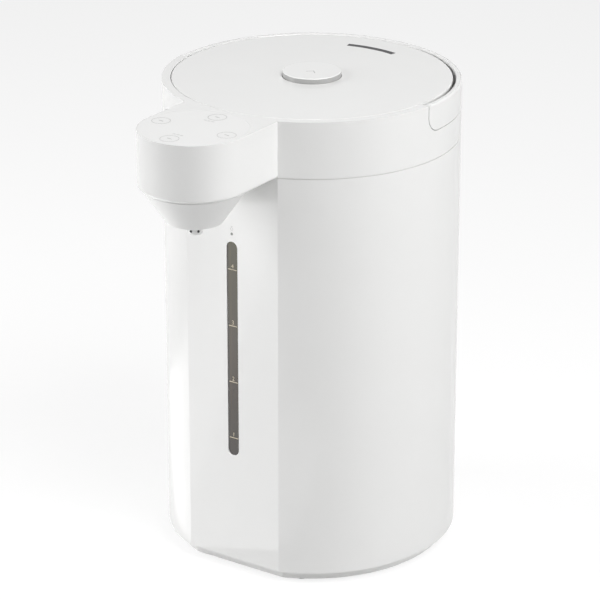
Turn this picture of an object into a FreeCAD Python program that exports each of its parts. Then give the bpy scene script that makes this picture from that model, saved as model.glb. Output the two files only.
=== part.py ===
import FreeCAD, Part
import math
import os

# Electric thermo pot, in millimetres. The origin is on the pot's upright axis, on the counter.
# The spout points to -Y and +Z is up.

# Outside form
body_radius = 103.0
front_half_width = 37.65
foot_height = 1.8
base_height = 7.4
base_inset = 6.0
shell_height = 289.8
collar_height = 39.8
spout_overhang = 34.4

# Walls and clearances
shell_wall = 1.2
panel_thickness = 2.0
collar_wall = 2.4
spout_wall = 3.0
seam_gap = 0.7
slide_gap = 0.3
fit_gap = 0.05
run_gap = 0.07
moving_gap = 0.5

# Water window
window_width = 9.0
window_bottom = 88.8
window_drop = 52.4
window_recess = 0.5
window_flange = 3.0
window_flange_thickness = 0.6
tube_radius = 3.0
tube_bore = 2.2
hose_wall = 0.85
lamp_rise = 5.5
tube_end_reach = 16.0
tube_top_reach = 22.0
hose_overlap = 6.0
lamp_radius = 1.0

# Inner pot
pot_front_gap = 8.87
pot_wall = 0.5
pot_gap = 0.25
pot_floor = 60.0
pot_corner = 8.0
pot_rim_width = 7.6
deck_drop = 19.8
deck_thickness = 3.0
shoulder_thickness = 2.5
shoulder_margin = 2.0

# Lid
rim_width = 6.3
lid_gap = 0.4
lid_thickness = 2.4
lid_edge_radius = 1.0
lid_overhang = 5.2
lid_skirt_wall = 2.0
lid_skirt_height = 14.4
liner_thickness = 2.4
plug_gap = 1.0
plug_wall = 2.0
plug_depth = 11.6
inner_plate_thickness = 0.8
gasket_margin = 1.3
gasket_width = 4.0
vent_margin = 8.0
steam_hole_radius = 2.2
steam_hole_angle = 5.0
vent_half_angle = 14.3
vent_width = 2.8
duct_wall = 1.5
duct_half_width = 6.0
lid_boss_radius = 3.5
lid_boss_circle = 58.0
lid_screw_radius = 1.5
lid_screw_head_radius = 3.0
lid_screw_reach = 9.0
rail_thickness = 1.5

# Button and latch in the lid
button_radius = 20.3
button_proud = 3.8
button_travel = 3.0
button_wall = 2.0
button_top = 3.0
button_flange = 1.7
button_flange_thickness = 1.5
button_skirt = 12.6
post_radius = 2.6
button_spring_radius = 5.6
spring_wire = 1.0
latch_half_width = 6.0
latch_height = 4.0
latch_rise = 4.0
latch_window_half = 3.2
latch_ramp_foot = -21.0
latch_inner_end = -11.5
latch_spring_radius = 2.0
latch_spring_wire = 0.7
latch_spring_margin = 14.0
latch_spring_length = 20.0
latch_post_length = 2.0

# Lid hinge
hinge_inset = 5.7
hinge_drop = 2.0
hinge_pin_radius = 0.8
hinge_pin_half = 15.0
knuckle_radius = 1.4
hinge_play = 0.25
ear_half_width = 8.0
ear_foot_gap = 0.5
ear_foot_thickness = 3.3
ear_bridge_top = 6.8
ear_bridge_depth = 4.3
ear_arm_thickness = 3.8
ear_arm_set_back = 0.4

# Carrying handle
handle_thickness = 4.4
handle_front = 11.6
handle_low = 0.5
handle_axis_height = 13.2
handle_top_corner = 4.0
handle_low_corner = 10.5
handle_lip = 1.6
handle_pocket_gap = 0.6
handle_pin_radius = 2.0
handle_pin_cover = 1.5
tower_thickness = 5.0
tower_gap = 1.2
tower_half_width = 5.5
tower_corner = 3.0
tower_above_axis = 3.9

# Spout
touch_margin = 0.75
touch_thickness = 1.6
spout_top_thickness = 3.2
spout_edge_radius = 2.6
touch_board_radius = 31.0
touch_board_drop = 5.0
board_thickness = 1.6
touch_post_circle = 24.0
funnel_inset = 2.55
funnel_taper = 15.8
funnel_height = 24.0
funnel_wall = 1.8
cover_plate_thickness = 2.0
nozzle_radius = 4.2
nozzle_bore = 2.3
nozzle_drop = 5.0
nozzle_length = 27.0
nozzle_flange_radius = 7.0
funnel_lip = 1.0
nozzle_step = 14.0
nozzle_notch = 1.6
hose_rise = 8.0
hose_bend = 10.0
hose_opening_half = 12.0
run_space = 2.0

# Base, frame and feet
base_wall = 2.4
frame_thickness = 2.4
foot_radius = 4.8
foot_margin = 8.5
foot_rounding = 0.6
foot_angle = 30.0
foot_recess = 1.2
screw_radius = 1.9
screw_head_radius = 3.6
screw_head_height = 2.0
screw_margin = 17.0
screw_pocket = 5.0
screw_angle = 50.0
screw_length = 16.0
boss_wall = 2.2
boss_height = 12.0
vent_slot_length = 26.0
vent_slot_width = 3.0
vent_slot_pitch = 8.0
vent_slot_count = 5

# Heater
heater_margin = 33.0
heater_plate_thickness = 3.0
heater_ring_inset = 8.0
heater_tube_radius = 3.2
heater_gap_angle = 40.0
heater_leg = 8.0
clamp_thickness = 2.2
clamp_half_width = 7.0
pillar_reach = 14.0
pillar_angles = (45, 165, 285)
pillar_radius = 2.5
pillar_nut_radius = 4.5
pillar_nut_height = 4.0
thermostat_radius = 8.0
thermostat_height = 6.0
thermostat_circle = 22.0
thermostat_angles = (-90, 30, 150)
tab_width = 3.0
tab_thickness = 0.8
tab_height = 6.0
tab_spacing = 8.0
sensor_radius = 3.0
sensor_height = 9.0
sensor_flange_radius = 5.0
sensor_flange_height = 3.0

# Pump
pump_x = -13.0
pump_set_back = 23.0
motor_radius = 12.0
motor_height = 15.0
magnet_radius = 9.0
magnet_height = 3.0
magnet_gap = 1.5
chamber_radius = 13.6
chamber_height = 6.0
chamber_floor_thickness = 1.2
pump_wall = 2.4
impeller_radius = 12.4
impeller_disc = 1.2
impeller_blades = 6
impeller_blade_sweep = 42.0
blade_thickness = 1.0
impeller_hub = 3.2
axle_radius = 1.0
inlet_pipe = 3.0
inlet_pipe_bore = 2.1
inlet_pipe_length = 6.0
outlet_pipe_length = 5.0
outlet_fitting_radius = 6.5
strainer_radius = 9.0
strainer_height = 5.0
strainer_wall = 1.0
strainer_slot = 1.2
strainer_slots = 4
riser_bend = 5.6

# Electronics and power inlet
circuit_half_width = 40.0
circuit_front = 8.0
circuit_rear = 72.0
circuit_post = 7.2
circuit_post_radius = 3.0
circuit_post_inset = 5.0
transformer_width = 26.0
transformer_depth = 24.0
transformer_height = 17.0
relay_width = 18.0
relay_depth = 14.0
relay_height = 12.0
sink_width = 28.0
sink_thickness = 4.0
sink_height = 16.0
connector_width = 20.0
connector_depth = 7.0
connector_height = 8.0
capacitor_radius = 4.5
capacitor_height = 11.0
capacitor_spacing = 10.0
socket_half_width = 15.7
socket_bottom = 22.3
socket_top = 41.7
socket_depth = 18.0
socket_recess_half = 12.5
socket_recess_margin = 2.7
socket_recess_depth = 9.0
contact_radius = 2.0
contact_spacing = 12.0
contact_length = 6.5
contact_root = 3.0
socket_recess_floor = 1.2

# Sizes and levels worked out from the sizes above
shell_bottom = foot_height + base_height
collar_bottom = shell_bottom + shell_height
top_level = collar_bottom + collar_height
front_y = -math.sqrt(body_radius ** 2 - front_half_width ** 2)
panel_back = front_y + panel_thickness
base_radius = body_radius - base_inset
shell_inner = body_radius - shell_wall
foot_circle = base_radius - foot_margin
screw_circle = base_radius - screw_margin
frame_bottom = shell_bottom + shell_wall
frame_top = frame_bottom + frame_thickness

window_top = collar_bottom - window_drop
lamp_height = window_top + lamp_rise
pot_radius = -panel_back - pot_front_gap
pot_rim_radius = pot_radius + pot_rim_width
shoulder_radius = pot_radius + shoulder_margin
tube_y = -(pot_radius + pot_wall + tube_radius + hose_wall + pot_gap)
heater_plate_radius = pot_radius - heater_margin
heater_ring_radius = heater_plate_radius - heater_ring_inset
pillar_circle = heater_plate_radius + pillar_reach
pump_y = pump_set_back - pot_radius
impeller_blade_height = chamber_height - impeller_disc - 2 * moving_gap

deck_top = top_level - deck_drop
shoulder_top = deck_top - deck_thickness
rim_top = shoulder_top + pot_wall
lid_under = top_level - lid_thickness
lid_radius = body_radius - rim_width
lid_skirt_radius = lid_radius - lid_overhang
plug_radius = pot_radius - plug_gap
gasket_inner = pot_radius + gasket_margin
gasket_outer = gasket_inner + gasket_width
vent_radius = plug_radius - vent_margin
liner_bottom = lid_under - lid_skirt_height - liner_thickness
liner_top = liner_bottom + liner_thickness
plug_bottom = liner_bottom - plug_depth
latch_level = liner_top + latch_rise
latch_spring_front = latch_spring_margin - plug_radius
latch_spring_rear = latch_spring_front + latch_spring_length
collar_ring_inner = lid_radius + lid_gap

hinge_y = lid_radius - hinge_inset
hinge_z = top_level - hinge_drop
ear_foot_rear = collar_ring_inner - ear_foot_gap
ear_foot_front = ear_foot_rear - ear_foot_thickness
ear_arm_rear = hinge_y - ear_arm_set_back
ear_arm_front = ear_arm_rear - ear_arm_thickness
handle_inner = body_radius - handle_thickness
handle_axis_z = deck_top + handle_axis_height
handle_pin_end = body_radius - handle_pin_cover
tower_outer = handle_inner - tower_gap
tower_inner = tower_outer - tower_thickness

spout_y = -body_radius - spout_overhang
touch_radius = front_half_width - touch_margin
funnel_top_radius = front_half_width - funnel_inset
funnel_bottom_radius = funnel_top_radius - funnel_taper
hose_level = collar_bottom + hose_rise
far = 5 * body_radius


def vec(x, y, z):
    return FreeCAD.Vector(x, y, z)


def disc(radius, low, high, x=0.0, y=0.0):
    return Part.makeCylinder(radius, high - low, vec(x, y, low))


def ring(outer, inner, low, high, x=0.0, y=0.0):
    return disc(outer, low, high, x, y).cut(disc(inner, low, high, x, y))


def block(x0, x1, y0, y1, z0, z1):
    return Part.makeBox(x1 - x0, y1 - y0, z1 - z0, vec(x0, y0, z0))


def rod_x(radius, x0, x1, y, z):
    return Part.makeCylinder(radius, x1 - x0, vec(x0, y, z), vec(1, 0, 0))


def rod_y(radius, y0, y1, x, z):
    return Part.makeCylinder(radius, y1 - y0, vec(x, y0, z), vec(0, 1, 0))


def fuse(shapes):
    return shapes[0].fuse(shapes[1:]).removeSplitter()


def outline_yz(points, half_width):
    # A closed outline in the YZ plane, given as (y, z), made a plate from -half_width to half_width.
    corners = [vec(-half_width, y, z) for y, z in points]
    face = Part.Face(Part.makePolygon(corners + corners[:1]))
    return face.extrude(vec(2 * half_width, 0, 0))


def turned(points, x=0.0, y=0.0):
    # A closed outline given as (radius, z), turned about an upright axis at x, y.
    corners = [vec(x + r, y, z) for r, z in points]
    face = Part.Face(Part.makePolygon(corners + corners[:1]))
    return face.revolve(vec(x, y, 0), vec(0, 0, 1), 360)


def d_shape(radius, flat_y, low, high):
    # A disc with its front cut flat.
    return disc(radius, low, high).common(block(-far, far, flat_y, far, low, high))


def spout_shape(half_width, rear_y, low, high):
    # The long housing seen from above: parallel sides and a round end.
    sides = block(-half_width, half_width, spout_y, rear_y, low, high)
    return fuse([sides, disc(half_width, low, high, 0, spout_y)])


def upright_slot(width, bottom, top, y0, y1):
    # A slot with round ends, cut through the front panel.
    half = width / 2
    middle = block(-half, half, y0, y1, bottom + half, top - half)
    return fuse([middle, rod_y(half, y0, y1, 0, bottom + half), rod_y(half, y0, y1, 0, top - half)])


def bent_pipe(points, bend, outer, inner):
    # Straight runs joined by arcs, as one tube with an open bore.
    edges = []
    start = points[0]
    for before, corner, after in zip(points, points[1:], points[2:]):
        into = (corner - before).normalize()
        away = (after - corner).normalize()
        turn = into.getAngle(away)
        reach = bend * math.tan(turn / 2)
        first = corner - into * reach
        last = corner + away * reach
        inward = (away - into).normalize()
        middle = corner + inward * (bend / math.cos(turn / 2) - bend)
        edges += [Part.LineSegment(start, first).toShape(), Part.Arc(first, middle, last).toShape()]
        start = last
    edges.append(Part.LineSegment(start, points[-1]).toShape())
    path = Part.Wire(edges)
    direction = points[1] - points[0]
    solids = []
    for radius in (outer, inner):
        section = Part.Wire(Part.makeCircle(radius, points[0], direction))
        solids.append(path.makePipeShell([section], True, False))
    return solids[0].cut(solids[1])


def coil(radius, wire, length, turns, origin, along):
    # A helical spring as a closed strip of flat faces, its first turn starting at the origin.
    steps, sides = 12 * turns, 6
    rows = []
    for i in range(steps + 1):
        turn = 2 * math.pi * turns * i / steps
        row = []
        for k in range(sides):
            edge = 2 * math.pi * k / sides
            reach = radius + wire / 2 * math.cos(edge)
            rise = length * i / steps + wire / 2 * math.sin(edge)
            row.append(vec(reach * math.cos(turn), reach * math.sin(turn), rise))
        rows.append(row)
    faces = [face_of(rows[0]), face_of(rows[-1])]
    for low, high in zip(rows, rows[1:]):
        for k in range(sides):
            n = (k + 1) % sides
            faces += [face_of([low[k], low[n], high[n]]), face_of([low[k], high[n], high[k]])]
    spring = Part.Solid(Part.Shell(faces))
    if spring.Volume < 0:
        spring.reverse()
    spring.Placement = FreeCAD.Placement(origin, FreeCAD.Rotation(vec(0, 0, 1), along))
    return spring


def face_of(corners):
    return Part.Face(Part.makePolygon(corners + corners[:1]))


def around(shape, angles):
    # Copies of a shape turned about the pot's axis.
    copies = []
    for angle in angles:
        copy = shape.copy()
        copy.rotate(vec(0, 0, 0), vec(0, 0, 1), angle)
        copies.append(copy)
    return copies


def round_edges(shape, radius, wanted):
    edges = [edge for edge in shape.Edges if wanted(edge)]
    return shape.makeFillet(radius, edges)


def at_level(edge, level):
    box = edge.BoundBox
    return abs(box.ZMin - level) < fit_gap and abs(box.ZMax - level) < fit_gap


def save(node, shape):
    shape.exportStep("parts/" + node + ".step")


# Outer shell: a rolled sheet-metal drum, open at the flat front, with folded edges and a folded foot.
def outer_shell():
    drum = ring(body_radius, shell_inner, shell_bottom, collar_bottom)
    drum = drum.cut(block(-front_half_width, front_half_width, -far, 0, 0, far))
    fold_rear = panel_back + 3 * panel_thickness
    fold_front = -math.sqrt(shell_inner ** 2 - (front_half_width + shell_wall) ** 2) - shell_wall / 2
    folds = [
        block(x, x + shell_wall, fold_front, fold_rear, shell_bottom, collar_bottom)
        for x in (front_half_width, -front_half_width - shell_wall)
    ]
    foot = d_shape(body_radius, panel_back, shell_bottom, frame_bottom)
    foot = foot.cut(d_shape(base_radius - 2 * base_wall, panel_back + base_inset, 0, far))
    shell = fuse([drum, foot] + folds)
    return shell.cut(socket_opening())


def socket_opening():
    half = socket_half_width + slide_gap
    return block(-half, half, 0, far, socket_bottom - slide_gap, socket_top + slide_gap)


# Front panel: a glossy moulding over the flat front, with the slot for the water window.
def front_panel():
    plate = block(-front_half_width, front_half_width, front_y, panel_back, shell_bottom, collar_bottom)
    rib_outer = front_half_width - panel_thickness
    rib_low = frame_top + panel_thickness
    rib_high = collar_bottom - 4 * panel_thickness
    rib_rear = panel_back + 2 * panel_thickness
    ribs = [
        block(x, x + panel_thickness, panel_back - fit_gap, rib_rear, rib_low, rib_high)
        for x in (rib_outer - panel_thickness, -rib_outer)
    ]
    panel = fuse([plate] + ribs)
    panel = panel.cut(upright_slot(window_width, window_bottom, window_top, front_y - 1, panel_back + 1))
    return panel.cut(rod_y(lamp_radius + fit_gap, front_y - 1, panel_back + 1, 0, lamp_height))


# Window lens: smoked clear plastic that fills the slot, with a flange behind the panel.
def window_lens():
    gap = fit_gap
    lens = upright_slot(window_width - 2 * gap, window_bottom + gap, window_top - gap,
                        front_y + window_recess, panel_back + fit_gap)
    edge = window_flange
    flange = upright_slot(window_width + 2 * edge, window_bottom - edge, window_top + edge,
                          panel_back, panel_back + window_flange_thickness)
    flange = flange.cut(rod_y(lamp_radius + 2 * slide_gap, panel_back - 1, panel_back + 2, 0, lamp_height))
    return fuse([lens, flange])


def indicator_lens():
    return rod_y(lamp_radius, front_y + fit_gap, panel_back + fit_gap, 0, lamp_height)


# Collar: the moulded ring at the top, with the deck that carries the pot's rim and the spout housing.
def handle_outline(front, low, high, top_corner, low_corner):
    # The handle seen from the side: an open-ended bar whose front corners are round.
    shape = block(-far, far, -front, far, low, high)
    top_edge = [edge for edge in shape.Edges if near_line(edge, -front, high)]
    shape = shape.makeFillet(top_corner, top_edge) if top_corner else shape
    low_edge = [edge for edge in shape.Edges if near_line(edge, -front, low)]
    return shape.makeFillet(low_corner, low_edge)


def near_line(edge, y, z):
    box = edge.BoundBox
    flat = max(box.YMax - box.YMin, box.ZMax - box.ZMin) < fit_gap
    return flat and abs(box.YMin - y) < fit_gap and abs(box.ZMin - z) < fit_gap


def handle_tower(side):
    inner, outer = sorted((side * tower_inner, side * tower_outer))
    high = handle_axis_z + tower_above_axis
    tower = block(inner, outer, -tower_half_width, tower_half_width, deck_top - 1, high)
    tops = [edge for edge in tower.Edges
            if near_line(edge, tower_half_width, high) or near_line(edge, -tower_half_width, high)]
    return tower.makeFillet(tower_corner, tops)


def hinge_ear():
    # The fixed hinge arm goes under the lid's swinging edge and hooks the pin from the front.
    bridge_top = hinge_z - ear_bridge_top
    bridge_low = bridge_top - ear_bridge_depth
    arm_top = lid_under - moving_gap
    ear = outline_yz([
        (ear_foot_front, deck_top - 1), (ear_foot_rear, deck_top - 1), (ear_foot_rear, bridge_top),
        (ear_arm_rear, bridge_top), (ear_arm_rear, arm_top), (ear_arm_front, arm_top),
        (ear_arm_front, bridge_low), (ear_foot_front, bridge_low)], ear_half_width)
    hook = rod_x(knuckle_radius, -ear_half_width, ear_half_width, hinge_y, hinge_z)
    hook = hook.cut(block(-far, far, 0, far, hinge_z + slide_gap, far))
    ear = fuse([ear, hook])
    mouth = hinge_pin_radius + fit_gap
    ear = ear.cut(rod_x(mouth, -far, far, hinge_y, hinge_z))
    return ear.cut(block(-far, far, hinge_y - mouth, hinge_y + mouth, hinge_z, far))


def top_collar():
    skin = ring(body_radius, body_radius - collar_wall, collar_bottom, top_level)
    skin = skin.cut(ring(far, body_radius - seam_gap, 0, collar_bottom + seam_gap))
    brim = ring(body_radius - 1, collar_ring_inner, lid_under, top_level)
    inner_wall = ring(collar_ring_inner + collar_wall, collar_ring_inner, deck_top - 1, top_level)
    deck = ring(body_radius - 1, pot_rim_radius + 0.4, shoulder_top, deck_top)
    shoulder = ring(body_radius - 1, shoulder_radius, shoulder_top - shoulder_thickness, shoulder_top)
    spigot_outer = shell_inner - slide_gap
    spigot = ring(spigot_outer, spigot_outer - collar_wall, collar_bottom - 2 * collar_wall,
                  collar_bottom + collar_wall)
    spigot = spigot.cut(block(-far, far, -far, panel_back + 3 * collar_wall, 0, collar_bottom + fit_gap))
    body = fuse([skin, brim, inner_wall, deck, shoulder, spigot])

    spout = spout_shape(front_half_width, front_y, collar_bottom, top_level)
    spout = round_edges(spout, spout_edge_radius, lambda e: at_level(e, collar_bottom) and off_rear(e))
    inside = spout_shape(front_half_width - spout_wall, front_y, 0, top_level - spout_top_thickness)
    spout = spout.cut(inside).cut(disc(body_radius - 1, 0, far))
    posts = [
        disc(collar_wall, top_level - spout_top_thickness - touch_board_drop, top_level - 2 * touch_thickness,
             touch_post_circle * math.cos(a), spout_y + touch_post_circle * math.sin(a))
        for a in (math.radians(45 + 90 * i) for i in range(4))
    ]
    collar = fuse([body, spout] + posts)
    collar = collar.cut(disc(touch_radius + fit_gap, top_level - touch_thickness, far, 0, spout_y))
    hose_low = hose_level - tube_radius - hose_wall - run_space
    hose_high = shoulder_top - shoulder_thickness
    collar = collar.cut(block(-hose_opening_half, hose_opening_half, -body_radius - 2, -body_radius / 2, hose_low, hose_high))

    pocket = handle_outline(handle_front + handle_pocket_gap, deck_top, far, 0,
                            handle_low_corner + handle_low)
    collar = collar.cut(pocket.cut(disc(collar_ring_inner - fit_gap, 0, 2 * far)))
    keeper = block(-latch_half_width - 1, latch_half_width + 1, -far, -lid_skirt_radius,
                   latch_level - 1, latch_level + latch_height + 1)
    collar = collar.cut(keeper.common(disc(collar_ring_inner + collar_wall + 1, 0, far)))
    towers = [handle_tower(1), handle_tower(-1)]
    collar = fuse([collar, hinge_ear()] + towers)
    return collar.cut(rod_x(handle_pin_radius + fit_gap, -far, far, 0, handle_axis_z))


def off_rear(edge):
    # True for the spout housing's outer edges, not for the one where it meets the round body.
    return edge.BoundBox.YMin < front_y - 1


# Spout: touch panel on top, circuit beneath it, cover with its funnel, nozzle and hose.
def touch_panel():
    return disc(touch_radius, top_level - touch_thickness, top_level, 0, spout_y)


def touch_board():
    high = top_level - spout_top_thickness - touch_board_drop
    return disc(touch_board_radius, high - board_thickness, high, 0, spout_y)


funnel_top = collar_bottom - 0.1
funnel_bottom = funnel_top - funnel_height


def spout_cover():
    half = front_half_width - spout_wall - 2 * fit_gap
    low = collar_bottom + slide_gap
    plate = spout_shape(half, -body_radius - 2 * fit_gap, low, low + cover_plate_thickness)
    slope = (funnel_top_radius - funnel_bottom_radius) / funnel_height
    side = funnel_wall * math.sqrt(1 + slope ** 2)
    cone = turned([
        (funnel_top_radius, funnel_top), (funnel_top_radius, funnel_top - funnel_lip),
        (funnel_bottom_radius, funnel_bottom), (nozzle_radius + fit_gap, funnel_bottom),
        (nozzle_radius + fit_gap, funnel_bottom + funnel_wall),
        (funnel_bottom_radius - side / 2, funnel_bottom + funnel_wall),
        (half - funnel_wall, funnel_top - funnel_lip), (half - funnel_wall, low + cover_plate_thickness),
        (half, low + cover_plate_thickness), (half, funnel_top)], 0, spout_y)
    plate = plate.cut(disc(half - funnel_wall / 2, 0, far, 0, spout_y))
    return fuse([plate, cone]).cut(disc(body_radius + slide_gap, collar_bottom, far))


def spout_nozzle():
    tip = funnel_bottom - nozzle_drop
    seat = funnel_bottom + funnel_wall
    step = tip + nozzle_step
    body = turned([
        (nozzle_bore, tip), (nozzle_radius, tip), (nozzle_radius, seat), (nozzle_flange_radius, seat),
        (nozzle_flange_radius, seat + funnel_wall), (nozzle_radius, seat + funnel_wall),
        (nozzle_radius, step), (tube_radius - fit_gap, step), (tube_radius - fit_gap, tip + nozzle_length),
        (nozzle_bore, tip + nozzle_length)], 0, spout_y)
    notch = block(-nozzle_notch / 2, nozzle_notch / 2, -far, far, tip - 1, tip + nozzle_notch)
    return body.cut(notch)


def spout_hose():
    start = funnel_bottom - nozzle_drop + nozzle_step + 1
    route = [vec(0, spout_y, start), vec(0, spout_y, hose_level), vec(0, tube_y, hose_level),
             vec(0, tube_y, tube_top - hose_overlap)]
    return bent_pipe(route, hose_bend, tube_radius + hose_wall, tube_radius)


# Sight tube: the glass riser behind the window, which also carries the water up.
tube_bottom = window_bottom - tube_end_reach
tube_top = window_top + tube_top_reach


def sight_tube():
    return ring(tube_radius - fit_gap, tube_bore, tube_bottom, tube_top, 0, tube_y)


def riser_hose():
    outlet_level = chamber_floor + chamber_height / 2
    start = pump_y - chamber_radius - pump_wall - 1
    route = [vec(0, start, outlet_level), vec(0, tube_y, outlet_level),
             vec(0, tube_y, tube_bottom + hose_overlap)]
    return bent_pipe(route, riser_bend, tube_radius + hose_wall, tube_radius)


# Inner pot: a deep-drawn stainless vessel whose rim lies on the collar's shoulder.
def inner_pot():
    low = pot_floor - pot_wall
    outside = disc(pot_radius + pot_wall, low, rim_top)
    outside = round_edges(outside, pot_corner + pot_wall, lambda e: at_level(e, low))
    inside = disc(pot_radius, pot_floor, rim_top + 1)
    inside = round_edges(inside, pot_corner, lambda e: at_level(e, pot_floor))
    rim = ring(pot_rim_radius, pot_radius + pot_wall / 2, shoulder_top, rim_top)
    pot = outside.cut(inside).fuse(rim).removeSplitter()
    return pot.cut(disc(outlet_fitting_radius - inlet_pipe_bore / 2, 0, pot_floor + 1, pump_x, pump_y))


def pot_insulation():
    inner = pot_radius + pot_wall + slide_gap
    wrap = ring(inner + 3.0, inner, pot_floor + 2 * pot_corner, collar_bottom)
    return wrap.cut(block(-3 * tube_radius, 3 * tube_radius, -far, 0, 0, far))


# Heater under the pot's floor, its clamp and the pillars that carry it.
heater_top = pot_floor - pot_wall
heater_low = heater_top - heater_plate_thickness
element_level = heater_low - heater_tube_radius - fit_gap
clamp_top = element_level - heater_tube_radius - slide_gap
clamp_low = clamp_top - clamp_thickness


def heater_plate():
    return disc(heater_plate_radius, heater_low, heater_top)


def heater_element():
    sweep = 360 - heater_gap_angle
    tube = Part.makeTorus(heater_ring_radius, heater_tube_radius, vec(0, 0, element_level), vec(0, 0, 1),
                          -180, 180, sweep)
    tube.rotate(vec(0, 0, 0), vec(0, 0, 1), 90 + heater_gap_angle / 2)
    legs = []
    for side in (-1, 1):
        angle = math.radians(90 + side * heater_gap_angle / 2)
        x, y = heater_ring_radius * math.cos(angle), heater_ring_radius * math.sin(angle)
        legs.append(disc(heater_tube_radius, element_level - heater_leg, element_level, x, y))
        legs.append(Part.makeSphere(heater_tube_radius, vec(x, y, element_level)))
    return fuse([tube] + legs)


def heater_clamp():
    hoop = ring(heater_ring_radius + clamp_half_width, heater_ring_radius - clamp_half_width,
                clamp_low, clamp_top)
    arm = block(heater_ring_radius, pillar_circle + clamp_half_width, -clamp_half_width, clamp_half_width,
                clamp_low, clamp_top)
    clamp = fuse([hoop] + around(arm, pillar_angles))
    half_gap = heater_ring_radius * math.sin(math.radians(heater_gap_angle / 2)) + heater_tube_radius + 1
    return clamp.cut(block(-half_gap, half_gap, 0, far, 0, far))


def support_pillars():
    pillar = disc(pillar_radius, frame_top, clamp_low, pillar_circle, 0)
    nuts = [
        disc(pillar_nut_radius, z, z + pillar_nut_height, pillar_circle, 0)
        for z in (frame_top, clamp_low - pillar_nut_height)
    ]
    return Part.makeCompound(around(fuse([pillar] + nuts), pillar_angles))


def thermostats():
    low = heater_low - thermostat_height
    places = [(thermostat_circle * math.cos(math.radians(a)), thermostat_circle * math.sin(math.radians(a)))
              for a in thermostat_angles]
    bodies = [
        disc(thermostat_radius, low, heater_low, x, y)
        for x, y in places
    ]
    tabs = [
        block(x + s - tab_width / 2, x + s + tab_width / 2, y - tab_thickness / 2, y + tab_thickness / 2,
              low - tab_height, low)
        for x, y in places for s in (-tab_spacing / 2, tab_spacing / 2)
    ]
    return Part.makeCompound([fuse([b] + tabs[2 * i:2 * i + 2]) for i, b in enumerate(bodies)])


def temperature_sensor():
    probe = disc(sensor_radius, heater_low - sensor_height, heater_low)
    return fuse([probe, disc(sensor_flange_radius, heater_low - sensor_flange_height, heater_low)])


# Pump: a flat motor turns a magnet, which drags the impeller round through the chamber's floor.
motor_top = frame_top + motor_height
magnet_low = motor_top + magnet_gap
chamber_floor = magnet_low + magnet_height + slide_gap + chamber_floor_thickness
chamber_top = chamber_floor + chamber_height


def pump_motor():
    can = disc(motor_radius, frame_top, motor_top, pump_x, pump_y)
    return can.cut(disc(axle_radius + run_gap, frame_top + 3, far, pump_x, pump_y))


def drive_magnet():
    shaft = disc(axle_radius, frame_top + 4, magnet_low + 1, pump_x, pump_y)
    return fuse([disc(magnet_radius, magnet_low, magnet_low + magnet_height, pump_x, pump_y), shaft])


def pump_housing():
    outer = chamber_radius + pump_wall
    floor_low = magnet_low + magnet_height + slide_gap
    body = disc(outer, floor_low, chamber_top, pump_x, pump_y)
    collar = ring(motor_radius + pump_wall, motor_radius + fit_gap, motor_top - 5, floor_low, pump_x, pump_y)
    outlet_level = chamber_floor + chamber_height / 2
    outlet_end = pump_y - chamber_radius - pump_wall
    pipe = rod_y(tube_radius - fit_gap, outlet_end - outlet_pipe_length, pump_y, 0, outlet_level)
    shoulder = block(-tube_radius - 1, tube_radius + 1, outlet_end, pump_y, floor_low, chamber_top)
    housing = fuse([body, collar, shoulder, pipe])
    housing = housing.cut(disc(chamber_radius, chamber_floor, far, pump_x, pump_y))
    housing = housing.cut(rod_y(tube_bore, -far, pump_y, 0, outlet_level))
    axle = disc(axle_radius, chamber_floor - 1, chamber_top - 1, pump_x, pump_y)
    return housing.fuse(axle)


def impeller_blade(turn):
    # One backward-curved blade: a strip between two arcs, standing on the disc.
    reach = impeller_radius - blade_thickness
    sweep = math.radians(impeller_blade_sweep)
    inner = vec(impeller_hub - blade_thickness, 0, 0)
    outer = vec(reach * math.cos(sweep), -reach * math.sin(sweep), 0)
    bulge = vec(reach * 0.6, -reach * 0.15, 0)
    shift = vec(blade_thickness, blade_thickness, 0).multiply(1 / math.sqrt(2))
    edges = [
        Part.Arc(inner, bulge, outer).toShape(),
        Part.makeLine(outer, outer + shift),
        Part.Arc(outer + shift, bulge + shift, inner + shift).toShape(),
        Part.makeLine(inner + shift, inner),
    ]
    blade = Part.Face(Part.Wire(edges)).extrude(vec(0, 0, impeller_blade_height + impeller_disc / 2))
    blade.translate(vec(0, 0, impeller_disc / 2))
    blade.rotate(vec(0, 0, 0), vec(0, 0, 1), turn)
    return blade


def pump_impeller():
    hub_top = impeller_disc + impeller_blade_height
    wheel = [disc(impeller_radius, 0, impeller_disc), disc(impeller_hub, 0, hub_top + moving_gap / 2)]
    blades = [impeller_blade(i * 360 / impeller_blades) for i in range(impeller_blades)]
    rotor = fuse(wheel + blades).cut(disc(axle_radius + run_gap, -1, far))
    rotor.translate(vec(pump_x, pump_y, chamber_floor + moving_gap))
    return rotor


def pump_cover():
    lid = disc(chamber_radius + pump_wall, chamber_top, chamber_top + pump_wall, pump_x, pump_y)
    pipe_end = chamber_top + pump_wall + inlet_pipe_length
    pipe = disc(inlet_pipe - fit_gap, chamber_top, pipe_end, pump_x, pump_y)
    return fuse([lid, pipe]).cut(disc(inlet_pipe_bore, 0, far, pump_x, pump_y))


def suction_hose():
    low = chamber_top + pump_wall + 0.5
    return ring(inlet_pipe + 1.3, inlet_pipe, low, pot_outlet_step, pump_x, pump_y)


pot_outlet_step = heater_low - 1.0
outlet_bore = outlet_fitting_radius - inlet_pipe_bore / 2 - 0.5


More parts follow.
